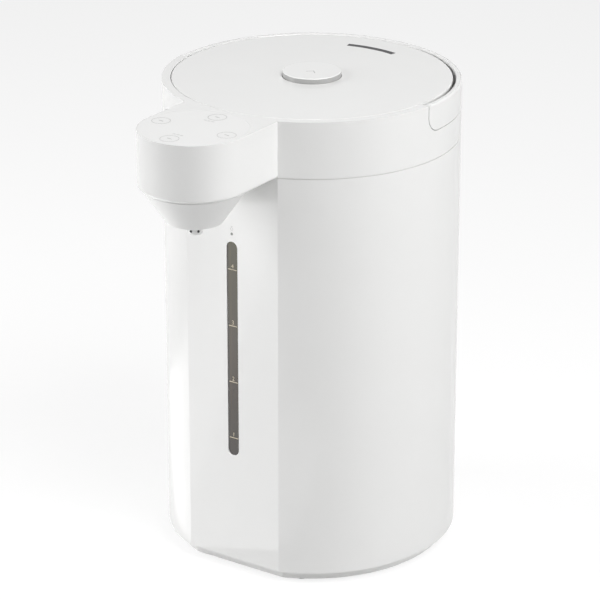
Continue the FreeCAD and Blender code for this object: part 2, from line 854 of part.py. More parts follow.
def pot_outlet():
    spigot = inlet_pipe - fit_gap
    tip = chamber_top + pump_wall + inlet_pipe_length + 0.5
    top = pot_floor - pot_wall
    return turned([
        (inlet_pipe_bore, tip), (spigot, tip), (spigot, pot_outlet_step),
        (outlet_fitting_radius + 2, pot_outlet_step), (outlet_fitting_radius + 2, top), (outlet_bore, top),
        (outlet_bore, pot_outlet_step + 1.4), (inlet_pipe_bore, pot_outlet_step + 1.4)], pump_x, pump_y)


def outlet_strainer():
    # A shallow dome with slots over the pot's outlet, held by a spigot through the floor.
    top = pot_floor + strainer_height
    dome = disc(strainer_radius, pot_floor, top, pump_x, pump_y)
    dome = round_edges(dome, strainer_height / 2, lambda e: at_level(e, top))
    under = top - strainer_wall
    hollow = disc(strainer_radius - strainer_wall, pot_floor, under, pump_x, pump_y)
    stem_radius = outlet_bore - fit_gap - fit_gap
    stem = disc(stem_radius, pot_floor - 2, under, pump_x, pump_y)
    cap = fuse([dome.cut(hollow), stem]).cut(disc(stem_radius - strainer_wall, 0, under, pump_x, pump_y))
    for i in range(strainer_slots):
        slot = block(-far, far, -strainer_slot / 2, strainer_slot / 2,
                     pot_floor + strainer_wall, under - strainer_wall)
        slot.rotate(vec(0, 0, 0), vec(0, 0, 1), (i + 0.5) * 180 / strainer_slots)
        slot.translate(vec(pump_x, pump_y, 0))
        cap = cap.cut(slot)
    return cap


# Lower frame: carries the motor, the circuit board, the pillars and the power inlet.
def screw_points():
    angles = [math.radians(a) for a in (screw_angle, 180 - screw_angle, 180 + screw_angle, -screw_angle)]
    return [(screw_circle * math.cos(a), screw_circle * math.sin(a)) for a in angles]


def circuit_corners():
    inset = circuit_post_inset
    return [(x, y) for x in (-circuit_half_width + inset, circuit_half_width - inset)
            for y in (circuit_front + inset, circuit_rear - inset)]


def lower_frame():
    plate = d_shape(shell_inner - slide_gap, panel_back + 4 * panel_thickness, frame_bottom, frame_top)
    cup = ring(motor_radius + pump_wall, motor_radius + fit_gap, frame_top - 1, frame_top + 6, pump_x, pump_y)
    parts = [plate, cup]
    for x, y in screw_points():
        parts.append(disc(screw_radius + boss_wall, frame_top - 1, frame_top + boss_height, x, y))
    for x, y in circuit_corners():
        parts.append(disc(circuit_post_radius, frame_top - 1, frame_top + circuit_post, x, y))
    socket_front = body_radius - shell_wall - socket_depth
    for x in (-socket_half_width + 2, socket_half_width - 6):
        parts.append(block(x, x + 4, socket_front + 2, socket_front + 12, frame_top - 1, socket_bottom))
    frame = fuse(parts)
    for x, y in screw_points():
        frame = frame.cut(disc(screw_radius + fit_gap, 0, frame_top + boss_height - 2, x, y))
    return frame


# Base: a flat-fronted tray under the body, with its feet and screws.
def base_plate():
    front = front_y + base_inset
    tray = d_shape(base_radius, front, foot_height, shell_bottom)
    bottom_edges = [e for e in tray.Edges if at_level(e, foot_height)]
    tray = tray.makeFillet(base_wall * 0.6, bottom_edges)
    hollow = d_shape(base_radius - base_wall, front + base_wall, foot_height + base_wall, far)
    tray = tray.cut(hollow)
    for x, y in screw_points():
        tray = fuse([tray, disc(screw_head_radius + boss_wall, foot_height + 1, frame_bottom, x, y)])
    for x, y in screw_points():
        tray = tray.cut(disc(screw_head_radius + slide_gap, 0, foot_height + screw_pocket, x, y))
        tray = tray.cut(disc(screw_radius + slide_gap, 0, far, x, y))
    for x, y in foot_points():
        tray = tray.cut(disc(foot_radius + fit_gap, 0, foot_height + foot_recess, x, y))
    for i in range(vent_slot_count):
        y = (i - (vent_slot_count - 1) / 2) * vent_slot_pitch
        slot = block(-vent_slot_length / 2, vent_slot_length / 2, y - vent_slot_width / 2,
                     y + vent_slot_width / 2, 0, foot_height + base_wall + 1)
        tray = tray.cut(slot)
    return tray


def foot_points():
    angles = [math.radians(90 + s * a) for a in (foot_angle, 180 - foot_angle) for s in (-1, 1)]
    return [(foot_circle * math.cos(a), foot_circle * math.sin(a)) for a in angles]


def rubber_feet():
    feet = []
    for x, y in foot_points():
        foot = disc(foot_radius, 0, foot_height + foot_recess, x, y)
        feet.append(round_edges(foot, foot_rounding, lambda e: at_level(e, 0)))
    return Part.makeCompound(feet)


def base_screws():
    screws = []
    seat = foot_height + screw_pocket
    for x, y in screw_points():
        head = disc(screw_head_radius, seat - screw_head_height, seat, x, y)
        screws.append(fuse([head, disc(screw_radius, seat - 1, seat + screw_length, x, y)]))
    return Part.makeCompound(screws)


# Circuit board with its parts, and the power inlet low on the back.
def main_board():
    low = frame_top + circuit_post
    return block(-circuit_half_width, circuit_half_width, circuit_front, circuit_rear,
                 low, low + board_thickness)


def board_components():
    low = frame_top + circuit_post + board_thickness
    front = circuit_front + 2 * circuit_post_inset + circuit_post_radius

    def placed(x, y, width, depth, height):
        return block(x, x + width, y, y + depth, low, low + height)

    left = -circuit_half_width + circuit_post_inset + circuit_post_radius
    cans = [
        disc(capacitor_radius, low, low + capacitor_height,
             circuit_half_width - capacitor_radius - capacitor_spacing * i, front + capacitor_radius)
        for i in (0, 1)
    ]
    return Part.makeCompound([
        placed(left, front, transformer_width, transformer_depth, transformer_height),
        placed(1, front, relay_width, relay_depth, relay_height),
        placed(1, front + transformer_depth, sink_width, sink_thickness, sink_height),
        placed(-connector_width / 2, circuit_rear - 2 * connector_depth, connector_width, connector_depth,
               connector_height)] + cans)


def power_inlet():
    rear = body_radius - slide_gap
    front = body_radius - shell_wall - socket_depth
    shell = block(-socket_half_width, socket_half_width, front, far, socket_bottom, socket_top)
    shell = shell.common(disc(rear, 0, far))
    margin = socket_recess_margin
    recess_front = rear - socket_recess_depth - socket_recess_floor
    recess = block(-socket_recess_half, socket_recess_half, recess_front, far,
                   socket_bottom + margin, socket_top - margin)
    holes = [
        rod_y(contact_radius + fit_gap, front + contact_root, far, x, socket_middle)
        for x in contact_places()
    ]
    inlet = shell.cut(recess)
    for hole in holes:
        inlet = inlet.cut(hole)
    return inlet


socket_middle = (socket_bottom + socket_top) / 2


def contact_places():
    return (-contact_spacing / 2, contact_spacing / 2)


def inlet_contacts():
    rear = body_radius - slide_gap - socket_recess_depth - socket_recess_floor + contact_length
    front = body_radius - shell_wall - socket_depth + contact_root
    pins = []
    for x in contact_places():
        pin = rod_y(contact_radius, front, rear, x, socket_middle)
        pins.append(round_edges(pin, contact_radius * 0.6, lambda e: e.BoundBox.YMin > rear - fit_gap))
    return Part.makeCompound(pins)


# Lid: cover with its skirt and hinge knuckles, liner, plug, gasket and steam duct.
def duct_sector(radius, half_width, half_angle, low, high):
    # A curved bar about the pot's axis, centred on the rear.
    outer = radius + half_width
    sector = ring(outer, radius - half_width, low, high)
    reach = 2 * outer
    angle = math.radians(half_angle)
    wedge = [vec(0, 0, low), vec(reach * math.sin(angle), reach * math.cos(angle), low),
             vec(-reach * math.sin(angle), reach * math.cos(angle), low)]
    return sector.common(Part.Face(Part.makePolygon(wedge + wedge[:1])).extrude(vec(0, 0, high - low)))


def lid_boss_points():
    angles = [math.radians(a) for a in (40, 140, 220, 320)]
    return [(lid_boss_circle * math.cos(a), lid_boss_circle * math.sin(a)) for a in angles]


def lid_cover():
    top = disc(lid_radius, lid_under, top_level)
    top = round_edges(top, lid_edge_radius, lambda e: at_level(e, top_level))
    skirt = ring(lid_skirt_radius, lid_skirt_radius - lid_skirt_wall, liner_top, lid_under + 1)
    gap = ear_half_width + 2 * slide_gap
    skirt = skirt.cut(block(-gap, gap, 0, far, 0, lid_under))
    parts = [top, skirt]
    for side in (-1, 1):
        low, high = sorted((side * (ear_half_width + slide_gap), side * hinge_pin_half))
        knuckle = rod_x(knuckle_radius + 0.3, low, high, hinge_y, hinge_z)
        web = block(low, high, lid_skirt_radius - 3 * lid_skirt_wall, hinge_y,
                    hinge_z - knuckle_radius, lid_under + 1)
        parts += [knuckle.cut(block(-far, far, 0, far, top_level, far)), web]
    for x, y in lid_boss_points():
        parts.append(disc(lid_boss_radius, liner_top, lid_under + 1, x, y))
    rail_low = latch_level + latch_height + slide_gap
    for x in (-latch_half_width + 1, latch_half_width - 1 - rail_thickness):
        parts.append(block(x, x + rail_thickness, -lid_skirt_radius + 1, -button_radius - 3,
                           rail_low, lid_under + 1))
    cover = fuse(parts)
    cover = cover.cut(disc(button_radius + lid_gap, 0, far))
    cover = cover.cut(duct_sector(vent_radius, vent_width / 2, vent_half_angle, lid_under - 1, far))
    slot = latch_half_width + slide_gap
    cover = cover.cut(block(-slot, slot, -far, -button_radius, latch_level - slide_gap, rail_low))
    cover = cover.cut(rod_x(knuckle_radius + hinge_play, -gap, gap, hinge_y, hinge_z))
    pin_end = hinge_pin_half - 1
    cover = cover.cut(rod_x(hinge_pin_radius + fit_gap, -pin_end, pin_end, hinge_y, hinge_z))
    for x, y in lid_boss_points():
        cover = cover.cut(disc(lid_screw_radius + fit_gap, 0, lid_under, x, y))
    return cover


def lid_hinge_pin():
    return rod_x(hinge_pin_radius, -hinge_pin_half + 1.2, hinge_pin_half - 1.2, hinge_y, hinge_z)


def lid_liner():
    plate = disc(lid_skirt_radius, liner_bottom, liner_top)
    plug = ring(plug_radius, plug_radius - plug_wall, plug_bottom, liner_bottom + 1)
    guide = disc(post_radius + 1.8, liner_top - 1, liner_top + 3)
    rails = [
        block(x, x + rail_thickness, -plug_radius, -button_radius - button_flange - lid_gap, liner_top - 1,
              latch_level - slide_gap)
        for x in (-latch_half_width + 0.5, latch_half_width - 0.5 - rail_thickness)
    ]
    spring_post = block(-latch_window_half + 0.6, latch_window_half - 0.6, latch_spring_rear,
                        latch_spring_rear + latch_post_length, liner_top - 1, latch_level + latch_height - 1)
    liner = fuse([plate, plug, guide, spring_post] + rails)
    liner = liner.cut(disc(post_radius + run_gap, liner_bottom - 1, far))
    duct = duct_sector(vent_radius, duct_half_width + fit_gap, vent_half_angle + 3 + fit_gap, 0, far)
    liner = liner.cut(duct)
    for x, y in lid_boss_points():
        liner = liner.cut(disc(lid_screw_radius + slide_gap, 0, far, x, y))
    return liner


def lid_inner_plate():
    # The stainless dish that closes the plug, with steam holes under the duct.
    plate = disc(plug_radius, plug_bottom - inner_plate_thickness, plug_bottom)
    for i in range(5):
        angle = math.radians(90 + (i - 2) * steam_hole_angle)
        x, y = vent_radius * math.cos(angle), vent_radius * math.sin(angle)
        plate = plate.cut(disc(steam_hole_radius, 0, far, x, y))
    return plate


def lid_gasket():
    low = rim_top + slide_gap
    lip = (gasket_outer - gasket_inner) / 3
    return turned([
        (gasket_inner, liner_bottom), (gasket_inner, liner_bottom - 1), (gasket_inner + lip, low),
        (gasket_outer - lip, low), (gasket_outer, liner_bottom - 1), (gasket_outer, liner_bottom)])


def steam_duct():
    low, high = plug_bottom, lid_under
    outer = duct_sector(vent_radius, duct_half_width, vent_half_angle + 3, low, high)
    inner = duct_sector(vent_radius, duct_half_width - duct_wall, vent_half_angle + 1.8, low - 1, high + 1)
    return outer.cut(inner)


def lid_screws():
    screws = []
    for x, y in lid_boss_points():
        head = disc(lid_screw_head_radius, liner_bottom - screw_head_height, liner_bottom, x, y)
        shank = disc(lid_screw_radius, liner_bottom - 1, liner_top + lid_screw_reach, x, y)
        screws.append(fuse([head, shank]))
    return Part.makeCompound(screws)


# Button, its spring and the latch that it draws back through a sloped rib.
button_crown = top_level + button_proud


def button_rib():
    gap = 1.5 * slide_gap
    front, rear = latch_ramp_foot + 4.5, latch_ramp_foot + 7.5
    rise = latch_level - latch_ramp_foot + gap
    return outline_yz([(front, front + rise), (rear, rear + rise), (rear, button_crown - button_top + 1),
                       (front, button_crown - button_top + 1)], latch_window_half - slide_gap)


def lid_button():
    low = button_crown - button_skirt
    cap = disc(button_radius, low, button_crown)
    cap = round_edges(cap, 1.0, lambda e: at_level(e, button_crown))
    cap = cap.cut(disc(button_radius - button_wall, 0, button_crown - button_top))
    flange_top = lid_under - slide_gap
    flange = ring(button_radius + button_flange, button_radius - 1,
                  flange_top - button_flange_thickness, flange_top)
    post = disc(post_radius, liner_top + 0.5, button_crown - 1)
    slot = latch_half_width + 2 * slide_gap
    slot_top = latch_level + latch_height + button_travel + 2 * slide_gap
    cap = cap.cut(block(-slot, slot, -far, latch_ramp_foot + 6, 0, slot_top))
    return fuse([cap, flange, post, button_rib()])


def button_spring():
    low = liner_top + spring_wire / 2 + fit_gap
    high = button_crown - button_top - spring_wire / 2 - fit_gap
    turns = 5
    return coil(button_spring_radius, spring_wire, high - low, turns, vec(0, 0, low), vec(0, 0, 1))


latch_tip = -(collar_ring_inner - slide_gap)


def latch_bolt():
    high = latch_level + latch_height
    bar = block(-latch_half_width, latch_half_width, latch_tip, latch_ramp_foot + 4, latch_level, high)
    rise = latch_level - latch_ramp_foot
    wedge_back = latch_inner_end + rail_thickness
    wedge = outline_yz([
        (latch_ramp_foot, latch_level), (latch_inner_end, latch_inner_end + rise),
        (wedge_back, latch_inner_end + rise), (wedge_back, latch_level)], latch_window_half)
    room = outline_yz([
        (latch_ramp_foot, latch_level - 1), (latch_ramp_foot, latch_level),
        (latch_ramp_foot + latch_height, high), (latch_ramp_foot + latch_height, high + 1),
        (latch_ramp_foot - latch_height, high + 1), (latch_ramp_foot - latch_height, latch_level - 1)],
        latch_window_half)
    bolt = fuse([bar, wedge]).cut(room)
    spring_room = block(-latch_window_half, latch_window_half, latch_spring_front,
                        latch_spring_rear + latch_post_length + slide_gap, 0, far)
    bolt = bolt.cut(spring_room)
    nose = outline_yz([(latch_tip - 1, high + 1), (latch_tip + 3, high + 1), (latch_tip - 1, high - 3)], far)
    return bolt.cut(nose)


def latch_spring():
    y0 = latch_spring_front + latch_spring_wire / 2 + fit_gap
    y1 = latch_spring_rear - latch_spring_wire / 2 - fit_gap
    turns = 7
    return coil(latch_spring_radius, latch_spring_wire, y1 - y0, turns,
                vec(0, y0, latch_level + latch_height / 2), vec(0, 1, 0))


# Carrying handle: a band that lies round the back of the collar and swings up on two pins.
def carry_handle():
    low = deck_top + handle_low
    band = ring(body_radius, handle_inner, low, top_level)
    band = round_edges(band, handle_lip, lambda e: at_level(e, top_level))
    band = band.common(handle_outline(handle_front, low, top_level, handle_top_corner, handle_low_corner))
    for side in (-1, 1):
        x0, x1 = sorted((side * tower_inner, side * (handle_pin_end + 0.1)))
        band = band.cut(rod_x(handle_pin_radius + run_gap, x0, x1, 0, handle_axis_z))
    return band


def handle_pivot_pins():
    pins = []
    for side in (-1, 1):
        x0, x1 = sorted((side * (tower_inner + 0.5), side * handle_pin_end))
        pins.append(rod_x(handle_pin_radius, x0, x1, 0, handle_axis_z))
    return Part.makeCompound(pins)


os.makedirs("parts", exist_ok=True)
pieces = [
    outer_shell, front_panel, window_lens, indicator_lens, top_collar, touch_panel, touch_board,
    spout_cover, spout_nozzle, spout_hose, sight_tube, riser_hose, inner_pot, pot_insulation,
    heater_plate, heater_element, heater_clamp, support_pillars, thermostats, temperature_sensor,
    pump_motor, drive_magnet, pump_housing, pump_impeller, pump_cover, suction_hose, pot_outlet,
    outlet_strainer, lower_frame, base_plate, rubber_feet, base_screws, main_board, board_components,
    power_inlet, inlet_contacts, lid_cover, lid_hinge_pin, lid_liner, lid_inner_plate, lid_gasket,
    steam_duct, lid_screws, lid_button, button_spring, latch_bolt, latch_spring, carry_handle,
    handle_pivot_pins,
]
for piece in pieces:
    save(piece.__name__, piece())
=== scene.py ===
import math
import bpy
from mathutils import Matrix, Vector


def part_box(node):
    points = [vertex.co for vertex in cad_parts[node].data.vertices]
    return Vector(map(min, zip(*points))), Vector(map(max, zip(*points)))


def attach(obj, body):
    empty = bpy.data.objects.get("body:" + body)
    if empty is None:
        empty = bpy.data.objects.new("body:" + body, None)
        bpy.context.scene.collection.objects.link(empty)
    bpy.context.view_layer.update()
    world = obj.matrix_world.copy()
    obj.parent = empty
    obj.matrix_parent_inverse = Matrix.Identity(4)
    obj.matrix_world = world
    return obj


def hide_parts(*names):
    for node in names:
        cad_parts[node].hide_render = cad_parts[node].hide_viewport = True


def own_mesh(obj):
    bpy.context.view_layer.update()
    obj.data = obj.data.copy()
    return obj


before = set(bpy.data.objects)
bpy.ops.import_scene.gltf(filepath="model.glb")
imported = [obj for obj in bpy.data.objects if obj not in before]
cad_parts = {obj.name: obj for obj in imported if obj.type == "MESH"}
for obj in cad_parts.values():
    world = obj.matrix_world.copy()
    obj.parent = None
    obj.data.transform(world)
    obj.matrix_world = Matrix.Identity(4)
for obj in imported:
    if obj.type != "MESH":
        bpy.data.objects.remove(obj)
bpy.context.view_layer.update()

# Camera: a long lens a little to the right of the spout and above the lid.
# Its place, tilt and turn follow from the photograph's ellipses and upright edges.
camera_place = (1.13840, -1.67969, 0.97961)
camera_tilt = math.radians(68.318)
camera_turn = math.radians(34.358)
bpy.ops.object.camera_add(location=camera_place, rotation=(camera_tilt, 0, camera_turn))
camera = bpy.context.object
camera.data.sensor_width = 36
camera.data.lens = 185.59
camera.data.clip_end = 50
bpy.context.scene.camera = camera
bpy.context.scene.view_settings.view_transform = "Standard"

# Studio floor: a sheet of white paper under the pot.
# The camera, gloss and clear plastic see it lifted to white, and the lit part of its colour keeps
# the pot's shadow.


# Colours are written as sRGB hex values and turned to linear here.
def linear(code):
    parts = [int(code[i:i + 2], 16) / 255 for i in (0, 2, 4)]
    return [p / 12.92 if p < 0.04045 else ((p + 0.055) / 1.055) ** 2.4 for p in parts] + [1]


# Adds a node. Settings name its attributes, and links feed its inputs from values or sockets.
def add(tree, kind, links=None, **settings):
    node = tree.nodes.new(kind)
    for name, value in settings.items():
        setattr(node, name, value)
    for name, value in (links or {}).items():
        if isinstance(value, bpy.types.NodeSocket):
            tree.links.new(value, node.inputs[name])
        else:
            node.inputs[name].default_value = value
    return node


def new_material(name):
    material = bpy.data.materials.new(name)
    material.use_nodes = True
    material.node_tree.nodes.clear()
    return material, material.node_tree


# The rays that see a white studio: from the camera, off gloss and through clear plastic.
def white_studio_rays(tree):
    path = add(tree, "ShaderNodeLightPath")
    seen = add(tree, "ShaderNodeMath", {0: path.outputs["Is Camera Ray"], 1: path.outputs["Is Glossy Ray"]},
               operation="MAXIMUM")
    seen = add(tree, "ShaderNodeMath", {0: seen.outputs[0], 1: path.outputs["Is Transmission Ray"]},
               operation="MAXIMUM")
    return seen.outputs[0]


floor_size = 12
floor_lift = 0.80
bpy.ops.mesh.primitive_plane_add(size=floor_size, location=(0, 0, 0))
floor = bpy.context.object
floor.name = "paper_floor"
floor_paper, tree = new_material("paper_floor")
lit = add(tree, "ShaderNodeBsdfDiffuse", {"Color": linear("8e8e8e")})
lift = add(tree, "ShaderNodeEmission", {"Color": linear("ffffff"), "Strength": floor_lift})
lifted = add(tree, "ShaderNodeAddShader", {0: lit.outputs[0], 1: lift.outputs[0]})
plain = add(tree, "ShaderNodeBsdfDiffuse", {"Color": linear("e6e6e6")})
mixed = add(tree, "ShaderNodeMixShader", {0: white_studio_rays(tree), 1: plain.outputs[0],
                                          2: lifted.outputs[0]})
add(tree, "ShaderNodeOutputMaterial", {"Surface": mixed.outputs[0]})
floor.data.materials.append(floor_paper)

# Studio walls: white to the same rays as the floor.
# They give no light of their own, so the softboxes alone shape the pot.
world = bpy.data.worlds.new("studio")
bpy.context.scene.world = world
world.use_nodes = True
tree = world.node_tree
tree.nodes.clear()
unlit = add(tree, "ShaderNodeBackground", {"Color": linear("ffffff"), "Strength": 0.0})
white = add(tree, "ShaderNodeBackground", {"Color": linear("ffffff"), "Strength": 1.0})
mixed = add(tree, "ShaderNodeMixShader", {0: white_studio_rays(tree), 1: unlit.outputs[0],
                                          2: white.outputs[0]})
add(tree, "ShaderNodeOutputWorld", {"Surface": mixed.outputs[0]})

# Softboxes: a tall one at the left, a tall one and a high one at the right, and a wide one overhead.
# Azimuth 0 is straight before the spout, and each box faces the middle of the pot.


def area_lamp(name, place, turn, wide, tall, watts):
    bpy.ops.object.light_add(type="AREA", location=place, rotation=turn)
    lamp = bpy.context.object
    lamp.name = name
    lamp.data.shape = "RECTANGLE"
    lamp.data.size = wide
    lamp.data.size_y = tall
    lamp.data.energy = watts
    lamp.visible_camera = False
    return lamp


def softbox(name, azimuth, distance, height, wide, tall, watts):
    turn = math.radians(azimuth)
    place = Vector((distance * math.sin(turn), -distance * math.cos(turn), height))
    pot_middle = Vector((0, 0, 0.2))
    area_lamp(name, place, (pot_middle - place).to_track_quat("-Z", "Y").to_euler(), wide, tall, watts)


softbox("left_softbox", azimuth=-52, distance=1.5, height=0.62, wide=0.75, tall=1.2, watts=17.5)
softbox("right_softbox", azimuth=95, distance=1.5, height=0.62, wide=0.665, tall=1.2, watts=8.3)
softbox("high_softbox", azimuth=68, distance=1.1, height=1.55, wide=0.8, tall=0.8, watts=16.0)
softbox("top_softbox", azimuth=200, distance=0.1, height=1.8, wide=1.2, tall=1.2, watts=6.3)

# Floor cards: two pale cards that lie side by side on the floor, left of the spout.
# Only gloss sees them: the polished front panel mirrors the straight edge between them as the
# slanting line down the panel.
card_azimuth = math.radians(-28.3)
card_long, card_wide, card_far = 0.72, 0.32, 0.475
card_lift = 0.002
along = Vector((math.sin(card_azimuth), -math.cos(card_azimuth), 0))
aside = Vector((-math.cos(card_azimuth), -math.sin(card_azimuth), 0))
for name, side, watts in (("bright_card", 1, 0.95), ("pale_card", -1, 0.72)):
    place = along * card_far + aside * side * card_wide / 2 + Vector((0, 0, card_lift))
    face_up = (math.pi, 0, math.atan2(along.y, along.x))
    card = area_lamp(name, place, face_up, card_long, card_wide, watts)
    card.visible_diffuse = False
    card.visible_transmission = False

# Outer shell: rolled steel sheet, open at the flat front, with folded edges and a folded foot.
# Its satin white powder coat has a faint orange peel about 1.5 mm across.


def shade(code, factor):
    return [c * factor for c in linear(code)[:3]] + [1]


# Moulded, coated or felted finish: an even colour with a fine grain, and slight cloudiness in
# colour and gloss from the flow in the mould or the spread of the coat.
def grained_finish(name, colour, roughness, grain_mm=0.25, grain_depth_mm=0.004, coat=0.0):
    material, tree = new_material(name)
    place = add(tree, "ShaderNodeTexCoord").outputs["Object"]
    grain = add(tree, "ShaderNodeTexNoise", {"Vector": place, "Scale": 1000 / grain_mm, "Detail": 3.0})
    bump = add(tree, "ShaderNodeBump", {"Height": grain.outputs[0], "Strength": 0.35,
                                        "Distance": grain_depth_mm / 1000})
    cloud_mm = 45
    cloud = add(tree, "ShaderNodeTexNoise", {"Vector": place, "Scale": 1000 / cloud_mm, "Detail": 2.0})
    tint = add(tree, "ShaderNodeMix", {0: cloud.outputs[0], 6: shade(colour, 0.975), 7: linear(colour)},
               data_type="RGBA")
    rough = add(tree, "ShaderNodeMapRange", {"Value": cloud.outputs[0], "To Min": roughness * 0.9,
                                             "To Max": roughness * 1.1})
    skin = add(tree, "ShaderNodeBsdfPrincipled", {
        "Base Color": tint.outputs[2], "Roughness": rough.outputs[0], "IOR": 1.5,
        "Coat Weight": coat, "Coat Roughness": 0.05, "Normal": bump.outputs[0]})
    add(tree, "ShaderNodeOutputMaterial", {"Surface": skin.outputs[0]})
    return material


# Gives CAD nodes their finish.
def dress(material, *nodes):
    for node in nodes:
        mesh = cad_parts[node].data
        mesh.materials.clear()
        mesh.materials.append(material)


coated_steel = grained_finish("white_powder_coated_steel", "f1f1f0", 0.22, grain_mm=1.5,
                              grain_depth_mm=0.006)
dress(coated_steel, "outer_shell")

# Base plate: a flat-fronted tray of white ABS, moulded with a fine satin texture.
# It closes the body from below, and four screws hold it.
satin_abs = grained_finish("satin_white_abs", "f1f1f0", 0.22)
dress(satin_abs, "base_plate")

# Feet: four pads of moulded grey rubber under the base plate.
# The rubber is matt, with a coarse dusty grain.
rubber = grained_finish("grey_rubber", "6f6f6e", 0.75, grain_mm=0.8, grain_depth_mm=0.03)
dress(rubber, "rubber_feet")

# Base screws and support pillars: turned steel with a zinc plating that leaves it greyish and satin.
# The screws hold the base, and the pillars carry the heater and the pot on the frame.


# Worked metal: the fine lines that drawing, turning or brushing leaves, stretched along an axis.
def worked_metal(name, colour, roughness, stretch=(1, 1, 1), line_mm=0.3, depth_mm=0.004):
    material, tree = new_material(name)
    place = add(tree, "ShaderNodeTexCoord").outputs["Object"]
    drawn = add(tree, "ShaderNodeMapping", {"Vector": place, "Scale": stretch})
    lines = add(tree, "ShaderNodeTexNoise", {"Vector": drawn.outputs[0], "Scale": 1000 / line_mm,
                                             "Detail": 4.0})
    bump = add(tree, "ShaderNodeBump", {"Height": lines.outputs[0], "Strength": 0.3,
                                        "Distance": depth_mm / 1000})
    tint = add(tree, "ShaderNodeMix", {0: lines.outputs[0], 6: shade(colour, 0.9), 7: linear(colour)},
               data_type="RGBA")
    rough = add(tree, "ShaderNodeMapRange", {"Value": lines.outputs[0], "To Min": roughness * 0.8,
                                             "To Max": roughness * 1.2})
    skin = add(tree, "ShaderNodeBsdfPrincipled", {
        "Base Color": tint.outputs[2], "Metallic": 1.0, "Roughness": rough.outputs[0],
        "Normal": bump.outputs[0]})
    add(tree, "ShaderNodeOutputMaterial", {"Surface": skin.outputs[0]})
    return material


zinc_steel = worked_metal("zinc_plated_steel", "bfc1c4", 0.35, line_mm=0.8)
dress(zinc_steel, "base_screws", "support_pillars")

# Lower frame: grey polypropylene with a coarse spark-eroded grain.
# It stands in the foot of the body and carries the motor, the board, the pillars and the inlet.
grey_polypropylene = grained_finish("grey_polypropylene", "b9bab9", 0.5, grain_mm=0.6, grain_depth_mm=0.012)
dress(grey_polypropylene, "lower_frame")

# Main board: woven glass cloth under a glossy green solder mask, carried by the frame.
# Its relay and other parts have black moulded cases.
solder_mask = grained_finish("green_solder_mask", "1f5a37", 0.3, grain_mm=1.2, grain_depth_mm=0.01, coat=0.3)
dress(solder_mask, "main_board")
black_nylon = grained_finish("black_glass_filled_nylon", "2b2b2c", 0.45, grain_mm=0.5, grain_depth_mm=0.012)
dress(black_nylon, "board_components")

# Power inlet: a socket of black glass-filled nylon, low in the back of the shell.
# Its two pins are turned brass.
dress(black_nylon, "power_inlet")
contact_brass = worked_metal("turned_brass", "cfae6a", 0.25, line_mm=0.3)
dress(contact_brass, "inlet_contacts")

# Pump: a flat motor in a zinc-plated can turns a magnet of pressed black ferrite. The magnet drags
# the impeller round through the chamber's floor, in a housing and cover of grey polypropylene.
dress(zinc_steel, "pump_motor")
ferrite = grained_finish("black_ferrite", "38383a", 0.6, grain_mm=0.3, grain_depth_mm=0.02)
dress(ferrite, "drive_magnet")
dress(grey_polypropylene, "pump_housing", "pump_impeller", "pump_cover")

# Inner pot: deep-drawn stainless steel, with its outlet and strainer. Its rim lies on the collar.
# It is brushed round the wall, which leaves lines that run round the pot.
pot_steel = worked_metal("brushed_stainless_steel", "c9c9c6", 0.28, stretch=(0.08, 0.08, 1), line_mm=0.5)
dress(pot_steel, "inner_pot", "pot_outlet", "outlet_strainer")

# Insulation: needled mineral felt wrapped round the pot.
# It is matt, with fibres about 0.8 mm apart.
felt = grained_finish("needled_felt", "cfcdc6", 0.95, grain_mm=0.8, grain_depth_mm=0.25)
dress(felt, "pot_insulation")

# Heater: a steel-sheathed element and a plate of cast aluminium, clamped under the pot's floor.
# The casting has a coarse sandy skin.
cast_aluminium = worked_metal("cast_aluminium", "c2c3c5", 0.5, line_mm=1.2, depth_mm=0.02)
dress(cast_aluminium, "heater_plate")
dress(pot_steel, "heater_element")
dress(zinc_steel, "heater_clamp")

# Thermostats and sensor: black moulded cases and a turned brass probe, under the pot.
# They cut the heater off and read the water's heat.
dress(black_nylon, "thermostats")
dress(contact_brass, "temperature_sensor")

# Hoses: white silicone tube from the pot to the pump, on to the sight tube and over to the spout.
# It is a little cloudy and soft to the light.
silicone_cloud_mm = 6.667
silicone, tree = new_material("white_silicone")
place = add(tree, "ShaderNodeTexCoord").outputs["Object"]
cloud = add(tree, "ShaderNodeTexNoise", {"Vector": place, "Scale": 1000 / silicone_cloud_mm, "Detail": 3.0})
tint = add(tree, "ShaderNodeMix", {0: cloud.outputs[0], 6: linear("d9d9d4"), 7: linear("e9e9e5")},
           data_type="RGBA")
bump = add(tree, "ShaderNodeBump", {"Height": cloud.outputs[0], "Strength": 0.2, "Distance": 0.0002})
skin = add(tree, "ShaderNodeBsdfPrincipled", {
    "Base Color": tint.outputs[2], "Roughness": 0.45, "IOR": 1.41, "Subsurface Weight": 0.25,
    "Subsurface Scale": 0.002, "Normal": bump.outputs[0]})
add(tree, "ShaderNodeOutputMaterial", {"Surface": skin.outputs[0]})
dress(silicone, "suction_hose", "riser_hose", "spout_hose")

# Sight tube: clear borosilicate glass tubing behind the window, which also carries the water up.
# Drawn glass is smooth, with a slow waviness.
glass_wave_mm = 12.5
glass, tree = new_material("borosilicate_glass")
place = add(tree, "ShaderNodeTexCoord").outputs["Object"]
wave = add(tree, "ShaderNodeTexNoise", {"Vector": place, "Scale": 1000 / glass_wave_mm})
bump = add(tree, "ShaderNodeBump", {"Height": wave.outputs[0], "Strength": 0.1, "Distance": 0.0001})
skin = add(tree, "ShaderNodeBsdfPrincipled", {
    "Base Color": linear("eef4f2"), "Roughness": 0.02, "IOR": 1.47, "Transmission Weight": 1.0,
    "Normal": bump.outputs[0]})
add(tree, "ShaderNodeOutputMaterial", {"Surface": skin.outputs[0]})
dress(glass, "sight_tube")

